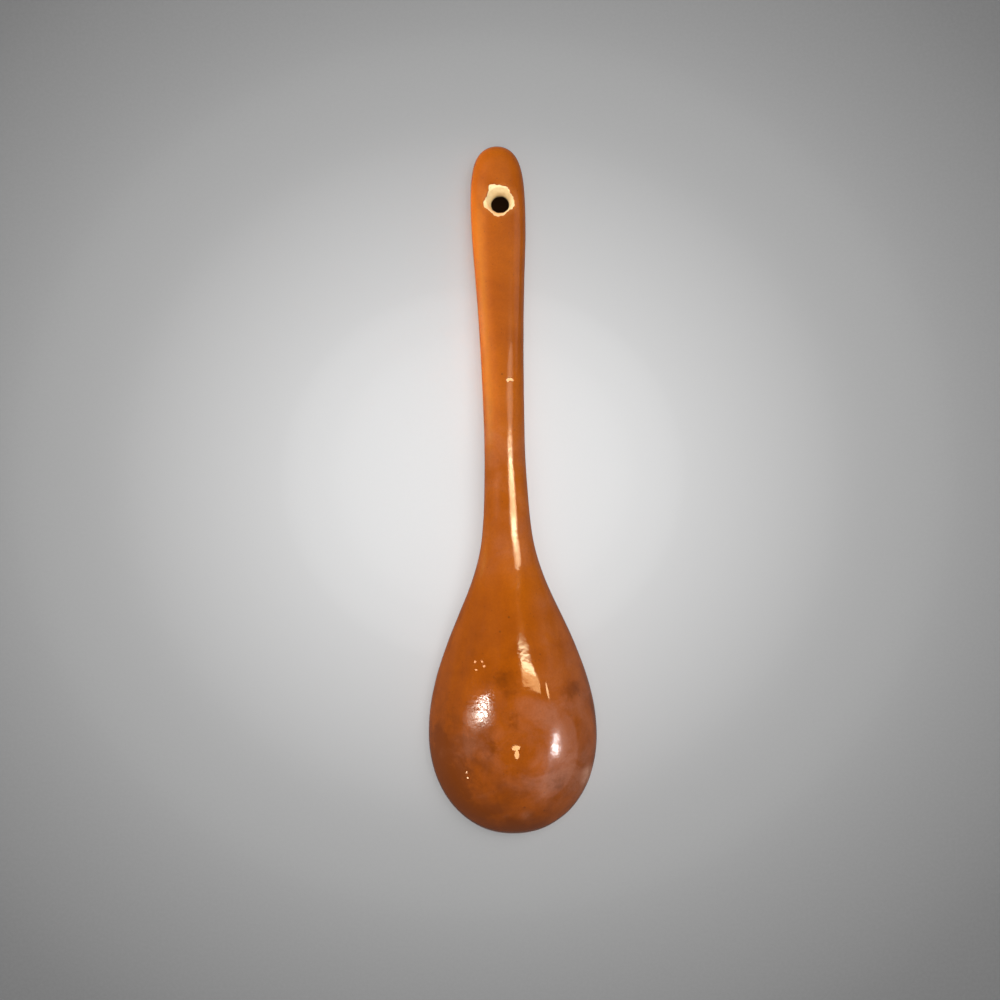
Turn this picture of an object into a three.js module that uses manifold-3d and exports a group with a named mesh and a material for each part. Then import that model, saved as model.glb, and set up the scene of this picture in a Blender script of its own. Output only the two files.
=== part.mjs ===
// Ceramic spoon, lying on its face with the back of the bowl up.
//
// Two real pieces: a solid clay body (bowl, neck and handle in one, with a
// tapered hanging hole) and the glass coat of glaze that covers it, open in an
// uneven ring round the hole on both faces and at one small chip.
//
// Frame: millimetres, +Z up, +Y towards the handle's end. Z = 0 is the plane
// the spoon lies on, and the origin is below the middle of its length.
//
// The shape is a curved mid-surface with a thickness laid on both sides of it.
// Each cross-section runs over t = -1 .. 1 from edge to edge.
import * as THREE from 'three';
import { ParametricGeometry } from 'three/addons/geometries/ParametricGeometry.js';
import { mergeVertices } from 'three/addons/utils/BufferGeometryUtils.js';
import Module from 'manifold-3d';

// ---- driving dimensions, mm ------------------------------------------------

const BOWL_END = -119.15;        // mid-surface edge at the bowl's tip
const HANDLE_END = 119.57;       // mid-surface edge at the handle's end
const CENTRE_SHIFT = 0.285;      // brings the middle of the length to Y = 0

const CROWN = 18.6;              // how far the bowl's mid-surface stands above its edge
const FULLNESS = 0.6;            // 0 is a plain paraboloid, more is a fuller bowl
const EDGE_ROUND_BOWL = 3.0;     // exponent of the edge rounding, thin bowl wall
const EDGE_ROUND_NECK = 1.0;     // the same on the neck, a plain oval
const EDGE_ROUND_GRIP = 1.5;     // the same on the handle, an oval with flatter faces
const ROUND_FROM = -50;          // the rounding changes over along the neck
const ROUND_OVER = 40;
const GRIP_FROM = 25;            // and again along the handle
const GRIP_OVER = 45;

const GLAZE = 0.4;               // thickness of the glass coat
const BOND = 0.05;               // clearance between coat and clay

const HOLE_X = 0.7;              // the hanging hole sits slightly off the middle
const HOLE_Y = 99.8;
const BORE_X = 0.1;              // the bore runs a little off the bare ring's middle
const BORE_Y = -0.45;
const CHIP_X = 2.45;             // small chip in the coat
const CHIP_Y = 37.62;

const STATIONS = 48;             // cross-sections along the length
const ROUND = 28;                // points round each cross-section

// half-width of the mid-surface, [y, half-width]
const OUTLINE = [
  [BOWL_END, 0], [-118.3, 7.25], [-116.6, 11.95], [-113.8, 16.3], [-109.8, 20.45],
  [-104.6, 23.93], [-98, 26.6], [-91, 28.04], [-84, 28.35], [-77, 27.79], [-69, 26.21],
  [-60, 23.45], [-51, 19.85], [-42, 15.93], [-34, 12.75], [-27, 10.56], [-20, 9.08],
  [-12, 8.19], [-2, 7.58], [10, 7.12], [24, 7.07], [40, 7.32], [56, 7.76], [72, 8.52],
  [86, 9.29], [97, 9.51], [105, 9.3], [111.37, 8.4], [115.57, 6.85], [118.27, 4.39],
  [HANDLE_END, 0],
];

// height of the edge line: flat under the front of the bowl, arched at the
// neck, and down again at the handle's end, [y, z]
const EDGE_LINE = [
  [-119, 0.12], [-105, 0.12], [-92, 0.12], [-80, 0.22], [-70, 0.55], [-60, 1.3], [-50, 2.45],
  [-40, 3.95], [-30, 5.55], [-20, 6.83], [-14, 7.36], [-8, 7.68], [0, 7.75], [10, 7.52],
  [20, 7.07], [30, 6.47], [40, 5.88], [50, 5.4], [65, 4.85], [80, 4.45], [90, 4.2],
  [100, 4.0], [110, 3.85], [120, 3.85],
];

// thickness at the middle of each cross-section, [y, thickness]
const THICKNESS = [
  [-119, 4.8], [-105, 4.8], [-90, 4.8], [-75, 4.8], [-60, 5.1], [-50, 5.7], [-40, 6.6],
  [-30, 7.8], [-20, 8.9], [-10, 9.7], [0, 10.1], [10, 10.2], [20, 10.15], [35, 10.0],
  [50, 9.8], [65, 9.6], [80, 9.45], [95, 9.2], [110, 9.0], [120, 9.0],
];

// how much of the crown is left between the bowl's widest place and the neck
const CROWN_FADE = [
  [-84, 1.0], [-79, 0.992], [-75, 0.961], [-70, 0.904], [-65, 0.828], [-60, 0.741],
  [-55, 0.645], [-50, 0.55], [-45, 0.454], [-40, 0.362], [-35, 0.276], [-30, 0.202],
  [-25, 0.136], [-20, 0.085], [-14, 0.04], [-8, 0.012], [0, 0],
];

// hanging hole, pierced from the back: [radius, z]
const HOLE_PROFILE = [
  [0, -2], [4.6, -2], [4.05, 0.2], [3.5, 0.9], [3.25, 2.2], [3.3, 4.2], [3.6, 6.0],
  [4.1, 7.4], [4.7, 8.3], [5.9, 10.5], [0, 10.5],
];

// edge of the coat round the hole, distances from the hole's axis in equal
// turns, anticlockwise from +X
const BARE_BACK = [5.2, 4.85, 4.95, 5.4, 5.6, 6.0, 5.0, 5.65, 5.55, 5.35, 5.6, 5.3, 5.1, 5.3];
const BARE_FRONT = [5.0, 5.3, 5.05, 4.85, 5.2, 5.35, 5.0, 4.8, 5.1, 5.4, 5.15, 4.9];

// outline of the chip, an arched flake
const CHIP = [
  [-1.39, -0.03], [-0.92, 0.41], [-0.41, 0.7], [0.07, 0.77], [0.6, 0.67], [1.12, 0.2],
  [1.38, -0.27], [1.08, -0.66], [0.65, -0.53], [0.1, -0.36], [-0.38, -0.54], [-0.78, -1.0],
  [-1.12, -0.6],
];

// ---- curves ----------------------------------------------------------------

// natural cubic spline through [x, y] knots
function spline(knots) {
  const n = knots.length;
  const x = knots.map((k) => k[0]);
  const y = knots.map((k) => k[1]);
  const h = x.slice(1).map((v, i) => v - x[i]);
  const m = new Array(n).fill(0);
  const c = new Array(n).fill(0);
  const d = new Array(n).fill(0);
  for (let i = 1; i < n - 1; i++) {
    const rhs = 6 * ((y[i + 1] - y[i]) / h[i] - (y[i] - y[i - 1]) / h[i - 1]);
    const p = 2 * (h[i - 1] + h[i]) - h[i - 1] * c[i - 1];
    c[i] = h[i] / p;
    d[i] = (rhs - h[i - 1] * d[i - 1]) / p;
  }
  for (let i = n - 2; i > 0; i--) m[i] = d[i] - c[i] * m[i + 1];
  return (v) => {
    let i = 0;
    while (i < n - 2 && v >= x[i + 1]) i++;
    const a = (x[i + 1] - v) / h[i];
    const b = (v - x[i]) / h[i];
    return a * y[i] + b * y[i + 1]
      + ((a ** 3 - a) * m[i] + (b ** 3 - b) * m[i + 1]) * h[i] ** 2 / 6;
  };
}

const MIDDLE = (BOWL_END + HANDLE_END) / 2;
const HALF = (HANDLE_END - BOWL_END) / 2;
const clamp = THREE.MathUtils.clamp;

// stations crowd together at both ends, where the outline closes
const stationOf = (y) => Math.acos(clamp(-(y - MIDDLE) / HALF, -1, 1)) / Math.PI;
const yOf = (s) => MIDDLE - HALF * Math.cos(Math.PI * s);

const outline = spline(OUTLINE.map(([y, w]) => [stationOf(y), w]));
const edgeLine = spline(EDGE_LINE);
const thicknessAt = spline(THICKNESS);
const crownFade = spline(CROWN_FADE);
const halfWidth = (y) => Math.max(outline(stationOf(y)), 0);

function widest(from, to) {
  let best = [from, 0];
  for (let y = from; y <= to; y += 0.05) {
    const w = halfWidth(y);
    if (w > best[1]) best = [y, w];
  }
  return best;
}
const [BOWL_Y, BOWL_W] = widest(BOWL_END + 20, -50);
const [GRIP_Y, GRIP_W] = widest(60, HANDLE_END - 5);

// share of the full width that is left towards the two closing ends
function closing(y) {
  if (y < BOWL_Y) return (halfWidth(y) / BOWL_W) ** 2;
  if (y > GRIP_Y) return (halfWidth(y) / GRIP_W) ** 2;
  return 1;
}

function crownShare(y) {
  if (y < BOWL_Y) return (halfWidth(y) / BOWL_W) ** 2;
  const end = CROWN_FADE[CROWN_FADE.length - 1][0];
  return y >= end ? 0 : clamp(crownFade(y), 0, 1);
}

function midHeight(x, y) {
  const w = Math.max(halfWidth(y), 1e-6);
  const t = x / w;
  const m = crownShare(y) * (1 - t * t);
  return edgeLine(y) + CROWN * m * (1 + FULLNESS * (1 - m));
}

// smooth change from 0 to 1
function changeOver(v) {
  const k = clamp(v, 0, 1);
  return k * k * k * (10 + k * (-15 + 6 * k));
}

function thickness(t, y) {
  const full = thicknessAt(y);
  const w = y < BOWL_Y ? BOWL_W : y > GRIP_Y ? GRIP_W : halfWidth(y);
  const blend = changeOver((y - ROUND_FROM) / ROUND_OVER);
  const grip = changeOver((y - GRIP_FROM) / GRIP_OVER);
  const wall = 1 / (1 + (full / w) ** -4) ** 0.25;    // soft minimum of 1 and full / w
  const reach = wall + (1 - wall) * blend;
  const s = clamp(closing(y) * (1 - t * t) / reach, 0, 1);
  const p = EDGE_ROUND_BOWL + (EDGE_ROUND_NECK - EDGE_ROUND_BOWL) * blend
    + (EDGE_ROUND_GRIP - EDGE_ROUND_NECK) * grip;
  return full * Math.sqrt(Math.max(0, 1 - (1 - s) ** p));
}

// ---- surfaces --------------------------------------------------------------

// point on the glazed surface: s along the length, angle round the section
function outerPoint(s, angle) {
  const y = yOf(s);
  const t = Math.cos(angle);
  const x = halfWidth(y) * t;
  const e = 1e-3;
  const y0 = Math.max(y - e, BOWL_END + 1e-4);
  const y1 = Math.min(y + e, HANDLE_END - 1e-4);
  const n = new THREE.Vector3(
    -(midHeight(x + e, y) - midHeight(x - e, y)) / (2 * e),
    -(midHeight(x, y1) - midHeight(x, y0)) / (y1 - y0),
    1,
  ).normalize();
  const side = Math.sin(angle) >= 0 ? 0.5 : -0.5;
  return new THREE.Vector3(x, y, midHeight(x, y)).addScaledVector(n, side * thickness(t, y));
}

function outerNormal(s, angle) {
  const e = 1e-4;
  const along = outerPoint(Math.min(s + e, 1), angle).sub(outerPoint(Math.max(s - e, 0), angle));
  const round = outerPoint(s, angle + e).sub(outerPoint(s, angle - e));
  return along.cross(round).normalize();
}

// one normal for the single point at each end
function endNormal(s) {
  const sum = new THREE.Vector3();
  for (let i = 0; i < ROUND; i++) sum.add(outerNormal(s, (2 * Math.PI * (i + 0.5)) / ROUND));
  return sum.normalize();
}
const TIP_NORMAL = endNormal(0.004);
const END_NORMAL = endNormal(0.996);

// closed surface of the spoon, set in from the glazed surface by `inset`; the
// lowest places are flat, where the spoon rests
function spoonSurface(inset) {
  const place = (u, v, target) => {
    const s = v < 1e-9 ? 0 : v > 1 - 1e-9 ? 1 : v;
    const angle = 2 * Math.PI * (u > 1 - 1e-9 ? 0 : u);
    const p = outerPoint(clamp(s, 1e-9, 1 - 1e-9), s === 0 || s === 1 ? 0 : angle);
    if (inset > 0) {
      const n = s === 0 ? TIP_NORMAL : s === 1 ? END_NORMAL : outerNormal(s, angle);
      p.addScaledVector(n, -inset);
    }
    if (s === 0 || s === 1) p.x = 0;
    p.z = Math.max(p.z, inset);
    target.copy(p);
  };
  return new ParametricGeometry(place, ROUND, STATIONS);
}

// ---- solids ----------------------------------------------------------------

const wasm = await Module();
wasm.setup();

// merge shared points, drop empty triangles, and turn all faces outwards
function solid(geometry) {
  geometry.deleteAttribute('normal');
  geometry.deleteAttribute('uv');
  const welded = mergeVertices(geometry, 1e-4);
  const pos = welded.getAttribute('position');
  const index = welded.getIndex().array;
  const keep = [];
  let volume = 0;
  const a = new THREE.Vector3();
  const b = new THREE.Vector3();
  const c = new THREE.Vector3();
  for (let i = 0; i < index.length; i += 3) {
    const [p, q, r] = [index[i], index[i + 1], index[i + 2]];
    if (p === q || q === r || r === p) continue;
    keep.push(p, q, r);
    a.fromBufferAttribute(pos, p);
    b.fromBufferAttribute(pos, q);
    c.fromBufferAttribute(pos, r);
    volume += a.dot(b.cross(c)) / 6;
  }
  if (volume < 0) {
    for (let i = 0; i < keep.length; i += 3) [keep[i + 1], keep[i + 2]] = [keep[i + 2], keep[i + 1]];
  }
  return new wasm.Manifold(new wasm.Mesh({
    numProp: 3,
    vertProperties: new Float32Array(pos.array),
    triVerts: new Uint32Array(keep),
  }));
}

function toGeometry(manifold) {
  const mesh = manifold.getMesh();
  const geometry = new THREE.BufferGeometry();
  geometry.setAttribute('position', new THREE.BufferAttribute(new Float32Array(mesh.vertProperties), 3));
  geometry.setIndex(new THREE.BufferAttribute(new Uint32Array(mesh.triVerts), 1));
  geometry.computeVertexNormals();
  return geometry;
}

// upright prism between two heights on a closed outline
function prism(points, low, high) {
  const geometry = new THREE.ExtrudeGeometry(new THREE.Shape(points), {
    depth: high - low, bevelEnabled: false, steps: 1,
  });
  return geometry.translate(0, 0, low);
}

// closed uneven ring from distances given in equal turns
function unevenRing(distances, count) {
  const corners = distances.map((r, i) => {
    const a = (2 * Math.PI * i) / distances.length;
    return new THREE.Vector3(HOLE_X + r * Math.cos(a), HOLE_Y + r * Math.sin(a), 0);
  });
  const loop = new THREE.CatmullRomCurve3(corners, true, 'centripetal');
  return loop.getPoints(count).slice(0, count).map((p) => new THREE.Vector2(p.x, p.y));
}

const hole = solid(
  new THREE.LatheGeometry(HOLE_PROFILE.map(([r, z]) => new THREE.Vector2(r, z)), 28)
    .rotateX(Math.PI / 2)
    .translate(HOLE_X + BORE_X, HOLE_Y + BORE_Y, 0),
);
const bareBack = solid(prism(unevenRing(BARE_BACK, 42), 4.5, 12));
const bareFront = solid(prism(unevenRing(BARE_FRONT, 36), -2, 4));
const chip = solid(prism(CHIP.map(([x, y]) => new THREE.Vector2(CHIP_X + x, CHIP_Y + y)), 8, 14));

const clay = solid(spoonSurface(GLAZE + BOND)).subtract(hole);
const coat = solid(spoonSurface(0))
  .subtract(solid(spoonSurface(GLAZE)))
  .subtract(bareBack)
  .subtract(bareFront)
  .subtract(chip);

// ---- the spoon -------------------------------------------------------------

const clayBody = new THREE.Mesh(toGeometry(clay), new THREE.MeshStandardMaterial({
  color: 0xf0d9a8, roughness: 0.85, metalness: 0,
}));
clayBody.name = 'clay_body';

const glazeCoat = new THREE.Mesh(toGeometry(coat), new THREE.MeshStandardMaterial({
  color: 0xa9571b, roughness: 0.18, metalness: 0,
}));
glazeCoat.name = 'glaze_coat';

const spoon = new THREE.Group();
spoon.name = 'ceramic_spoon';
spoon.position.y = CENTRE_SHIFT;
spoon.add(clayBody, glazeCoat);

export default spoon;
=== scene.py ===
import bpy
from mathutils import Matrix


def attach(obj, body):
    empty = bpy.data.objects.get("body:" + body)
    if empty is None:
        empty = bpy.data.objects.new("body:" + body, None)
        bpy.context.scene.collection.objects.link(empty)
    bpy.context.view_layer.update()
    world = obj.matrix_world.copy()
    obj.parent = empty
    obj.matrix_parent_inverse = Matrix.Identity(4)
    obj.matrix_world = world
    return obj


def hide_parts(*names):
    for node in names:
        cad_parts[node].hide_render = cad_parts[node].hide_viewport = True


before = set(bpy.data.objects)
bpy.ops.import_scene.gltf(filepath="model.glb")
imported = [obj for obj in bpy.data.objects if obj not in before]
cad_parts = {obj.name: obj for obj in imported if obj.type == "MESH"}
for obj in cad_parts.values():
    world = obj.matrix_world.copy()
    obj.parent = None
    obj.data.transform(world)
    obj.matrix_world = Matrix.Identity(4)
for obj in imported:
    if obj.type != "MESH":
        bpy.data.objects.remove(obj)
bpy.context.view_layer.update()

import math

import bpy
import numpy as np
from mathutils import Matrix, Vector

# ---- dimensions, mm ---------------------------------------------------------

BOWL_END = -119.15
HANDLE_END = 119.57
CENTRE_SHIFT = 0.285

CROWN = 18.6
FULLNESS = 0.6
EDGE_ROUND_BOWL = 3.0
EDGE_ROUND_NECK = 1.0
EDGE_ROUND_GRIP = 1.5
ROUND_FROM = -50.0
ROUND_OVER = 40.0
GRIP_FROM = 25.0
GRIP_OVER = 45.0

GLAZE = 0.4            # thickness of the coat
CLAY_INSET = 0.41      # clay surface below the glazed surface
EDGE_RADIUS = 0.2      # broken edge of the coat, softened

HOLE = (0.7, 99.8)
BORE_SHIFT = (0.1, -0.5)   # the bore runs a little off the bare ring's middle
CHIP = (2.45, 37.62)

ROUND = 144            # points round each cross-section
STATIONS = 250         # cross-sections, before refining at the hole and the chip

OUTLINE = [
    (BOWL_END, 0), (-118.3, 7.25), (-116.6, 11.95), (-113.8, 16.3), (-109.8, 20.45),
    (-104.6, 23.93), (-98, 26.6), (-91, 28.04), (-84, 28.35), (-77, 27.79), (-69, 26.21),
    (-60, 23.45), (-51, 19.85), (-42, 15.93), (-34, 12.75), (-27, 10.56), (-20, 9.08),
    (-12, 8.19), (-2, 7.58), (10, 7.12), (24, 7.07), (40, 7.32), (56, 7.76), (72, 8.52),
    (86, 9.29), (97, 9.51), (105, 9.3), (111.37, 8.4), (115.57, 6.85), (118.27, 4.39),
    (HANDLE_END, 0),
]
EDGE_LINE = [
    (-119, 0.12), (-105, 0.12), (-92, 0.12), (-80, 0.22), (-70, 0.55), (-60, 1.3), (-50, 2.45),
    (-40, 3.95), (-30, 5.55), (-20, 6.83), (-14, 7.36), (-8, 7.68), (0, 7.75), (10, 7.52),
    (20, 7.07), (30, 6.47), (40, 5.88), (50, 5.4), (65, 4.85), (80, 4.45), (90, 4.2),
    (100, 4.0), (110, 3.85), (120, 3.85),
]
THICKNESS = [
    (-119, 4.8), (-105, 4.8), (-90, 4.8), (-75, 4.8), (-60, 5.1), (-50, 5.7), (-40, 6.6),
    (-30, 7.8), (-20, 8.9), (-10, 9.7), (0, 10.1), (10, 10.2), (20, 10.15), (35, 10.0),
    (50, 9.8), (65, 9.6), (80, 9.45), (95, 9.2), (110, 9.0), (120, 9.0),
]
CROWN_FADE = [
    (-84, 1.0), (-79, 0.992), (-75, 0.961), (-70, 0.904), (-65, 0.828), (-60, 0.741),
    (-55, 0.645), (-50, 0.55), (-45, 0.454), (-40, 0.362), (-35, 0.276), (-30, 0.202),
    (-25, 0.136), (-20, 0.085), (-14, 0.04), (-8, 0.012), (0, 0),
]
# bore of the hanging hole, (height, radius)
BORE = [(0.0, 4.3), (0.5, 3.7), (1.2, 3.36), (2.4, 3.16), (4.2, 3.2), (5.6, 3.42),
        (6.9, 3.85), (7.8, 4.35), (8.6, 5.0)]

# edge of the coat round the hole: (degrees anticlockwise from +X, distance)
BARE_BACK = [
    (0, 5.2), (15, 4.85), (38, 4.82), (55, 4.97), (74, 5.32), (91, 5.65), (101, 5.45),
    (110, 6.1), (118, 6.4), (125, 6.35), (131, 5.8), (137, 5.12), (145, 4.9), (156, 4.95),
    (167, 5.12), (175, 5.5), (182, 5.83), (191, 5.76), (210, 5.48), (223, 5.28), (244, 5.55),
    (259, 5.62), (274, 5.38), (291, 5.16), (315, 5.08), (340, 5.33),
]
BARE_FRONT = [
    (0, 5.0), (30, 5.3), (60, 5.05), (90, 4.85), (120, 5.2), (150, 5.35), (180, 5.0),
    (210, 4.8), (240, 5.1), (270, 5.4), (300, 5.15), (330, 4.9),
]
# edge of the chip, an arched flake, from a point inside its arch
CHIP_EDGE = [
    (0, 1.08), (20, 0.9), (41, 0.74), (64, 0.62), (88, 0.57), (110, 0.6), (132, 0.7),
    (150, 0.83), (168, 1.0), (181, 1.3), (190, 1.46), (202, 1.4), (215, 1.4), (228, 1.5),
    (235, 1.46), (241, 1.0), (250, 0.75), (262, 0.61), (276, 0.57), (292, 0.68), (306, 0.92),
    (314, 1.2), (321, 1.36), (331, 1.4), (341, 1.42), (350, 1.28),
]
CHIP_POLE = (CHIP[0] + 0.05, CHIP[1] + 0.2)

# ---- curves -----------------------------------------------------------------


def spline(knots):
    """Natural cubic spline through (x, y) knots."""
    k = np.array(knots, float)
    x, y = k[:, 0], k[:, 1]
    n, h = len(x), np.diff(x)
    a, r = np.zeros((n, n)), np.zeros(n)
    a[0, 0] = a[-1, -1] = 1
    for i in range(1, n - 1):
        a[i, i - 1], a[i, i], a[i, i + 1] = h[i - 1], 2 * (h[i - 1] + h[i]), h[i]
        r[i] = 6 * ((y[i + 1] - y[i]) / h[i] - (y[i] - y[i - 1]) / h[i - 1])
    m = np.linalg.solve(a, r)

    def at(v):
        v = np.asarray(v, float)
        i = np.clip(np.searchsorted(x, v, side="right") - 1, 0, n - 2)
        p, q = (x[i + 1] - v) / h[i], (v - x[i]) / h[i]
        return p * y[i] + q * y[i + 1] + ((p**3 - p) * m[i] + (q**3 - q) * m[i + 1]) * h[i] ** 2 / 6

    return at


def closed_curve(knots):
    """Closed Catmull-Rom curve of distance over angle, in radians."""
    a = np.radians([k[0] for k in knots])
    d = np.array([k[1] for k in knots], float)
    n = len(a)
    ext = np.concatenate([a - 2 * np.pi, a, a + 2 * np.pi])
    val = np.concatenate([d, d, d])
    slope = (np.roll(val, -1) - np.roll(val, 1)) / (np.roll(ext, -1) - np.roll(ext, 1))

    def at(v):
        v = np.mod(np.asarray(v, float), 2 * np.pi)
        i = np.clip(np.searchsorted(ext, v, side="right") - 1, n - 1, 2 * n)
        h = ext[i + 1] - ext[i]
        u = (v - ext[i]) / h
        return (
            (2 * u**3 - 3 * u**2 + 1) * val[i] + (u**3 - 2 * u**2 + u) * h * slope[i]
            + (-2 * u**3 + 3 * u**2) * val[i + 1] + (u**3 - u**2) * h * slope[i + 1]
        )

    return at


def smooth(lo, hi, v):
    u = np.clip((np.asarray(v, float) - lo) / (hi - lo), 0, 1)
    return u * u * (3 - 2 * u)


MIDDLE = (BOWL_END + HANDLE_END) / 2
HALF = (HANDLE_END - BOWL_END) / 2


def station_of(y):
    return np.arccos(np.clip(-(np.asarray(y, float) - MIDDLE) / HALF, -1, 1)) / np.pi


def y_of(s):
    return MIDDLE - HALF * np.cos(np.pi * np.asarray(s, float))


outline = spline([(float(station_of(y)), w) for y, w in OUTLINE])
edge_line = spline(EDGE_LINE)
thickness_at = spline(THICKNESS)
crown_fade = spline(CROWN_FADE)
bore_radius = spline(BORE)


def half_width(y):
    return np.maximum(outline(station_of(y)), 0)


def widest(a, b):
    y = np.arange(a, b, 0.05)
    w = half_width(y)
    return y[np.argmax(w)], w.max()


BOWL_Y, BOWL_W = widest(BOWL_END + 20, -50)
GRIP_Y, GRIP_W = widest(60, HANDLE_END - 5)


def closing(y):
    w = half_width(y)
    return np.where(y < BOWL_Y, (w / BOWL_W) ** 2, np.where(y > GRIP_Y, (w / GRIP_W) ** 2, 1.0))


def crown_share(y):
    fade = np.clip(crown_fade(np.minimum(y, 0)), 0, 1)
    return np.where(y < BOWL_Y, (half_width(y) / BOWL_W) ** 2, np.where(y >= 0, 0.0, fade))


def mid_height(x, y):
    t = x / np.maximum(half_width(y), 1e-6)
    m = crown_share(y) * (1 - t * t)
    return edge_line(y) + CROWN * m * (1 + FULLNESS * (1 - m))


def change_over(v):
    k = np.clip(v, 0, 1)
    return k**3 * (10 + k * (-15 + 6 * k))


def thickness(t, y):
    full = thickness_at(y)
    w = np.where(y < BOWL_Y, BOWL_W, np.where(y > GRIP_Y, GRIP_W, half_width(y)))
    turn = change_over((y - ROUND_FROM) / ROUND_OVER)
    grip = change_over((y - GRIP_FROM) / GRIP_OVER)
    wall = 1 / (1 + (full / w) ** -4.0) ** 0.25
    reach = wall + (1 - wall) * turn
    s = np.clip(closing(y) * (1 - t * t) / reach, 0, 1)
    p = (EDGE_ROUND_BOWL + (EDGE_ROUND_NECK - EDGE_ROUND_BOWL) * turn
         + (EDGE_ROUND_GRIP - EDGE_ROUND_NECK) * grip)
    return full * np.sqrt(np.maximum(0, 1 - (1 - s) ** p))


def outer(t, y, side):
    """Points of the glazed surface, side +1 for the back and -1 for the face."""
    t, y, side = np.broadcast_arrays(*(np.asarray(v, float) for v in (t, y, side)))
    x, e = half_width(y) * t, 1e-3
    y0, y1 = np.maximum(y - e, BOWL_END + 1e-4), np.minimum(y + e, HANDLE_END - 1e-4)
    n = np.stack([
        -(mid_height(x + e, y) - mid_height(x - e, y)) / (2 * e),
        -(mid_height(x, y1) - mid_height(x, y0)) / (y1 - y0),
        np.ones_like(x),
    ], -1)
    n /= np.linalg.norm(n, axis=-1, keepdims=True)
    return np.stack([x, y, mid_height(x, y)], -1) + n * (side * 0.5 * thickness(t, y))[..., None]


# faint hand-made unevenness of the surface, a sum of long waves
_waves = np.random.default_rng(11)
WAVE_DIR = _waves.normal(size=(16, 3))
WAVE_DIR /= np.linalg.norm(WAVE_DIR, axis=1, keepdims=True)
WAVE_LEN = _waves.uniform(7.0, 24.0, 16)
WAVE_PHASE = _waves.uniform(0, 2 * np.pi, 16)
EVEN = [(-10.8, -59.0, 8.0), (1.0, -87.5, 8.0)]     # smoother spots on the bowl, (x, y, radius)


def unevenness(p):
    total = np.zeros(p.shape[:-1])
    for d, length, phase in zip(WAVE_DIR, WAVE_LEN, WAVE_PHASE):
        total += length * np.sin(2 * np.pi * (p @ d) / length + phase)
    for x, y, radius in EVEN:
        total *= 1 - 0.92 * np.exp(-((p[..., 0] - x) ** 2 + (p[..., 1] - y) ** 2) / radius**2)
    return 0.00045 * total


def section_points(s, angle):
    """Points and outward normals of the glazed surface on a grid of stations and angles."""
    def at(s_, a_):
        return outer(np.cos(a_), y_of(s_), np.where(np.sin(a_) >= 0, 1.0, -1.0))

    e = 1e-4
    sm, am = np.broadcast_arrays(s[:, None], angle[None, :])
    p = at(sm, am)
    along = at(np.minimum(sm + e, 1 - 1e-9), am) - at(np.maximum(sm - e, 1e-9), am)
    turn = at(sm, am + e) - at(sm, am - e)
    n = np.cross(along, turn)
    n /= np.linalg.norm(n, axis=-1, keepdims=True)
    return p, n


def plan_point(x, y, side):
    """Point and outward normal of the glazed surface at a place in plan."""
    def height(px, py):
        mx, my = px.copy(), py.copy()
        for _ in range(14):
            p = outer(np.clip(mx / half_width(my), -1, 1), my, side)
            mx, my = mx + px - p[..., 0], my + py - p[..., 1]
        return outer(np.clip(mx / half_width(my), -1, 1), my, side)[..., 2]

    x, y, h = np.asarray(x, float), np.asarray(y, float), 0.02
    z = height(x, y)
    n = np.stack([
        -(height(x + h, y) - height(x - h, y)) / (2 * h),
        -(height(x, y + h) - height(x, y - h)) / (2 * h),
        np.ones_like(x),
    ], -1) * side
    n /= np.linalg.norm(n, axis=-1, keepdims=True)
    return np.stack([x, y, z], -1), n


def set_in(p, n, inset):
    """Moves surface points in by `inset`; the places the spoon rests on stay flat."""
    inset = np.broadcast_to(np.asarray(inset, float), p.shape[:-1])
    q = p + n * (unevenness(p) - inset)[..., None]
    q[..., 2] = np.maximum(q[..., 2], inset)
    return q


# ---- meshes -----------------------------------------------------------------


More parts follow.
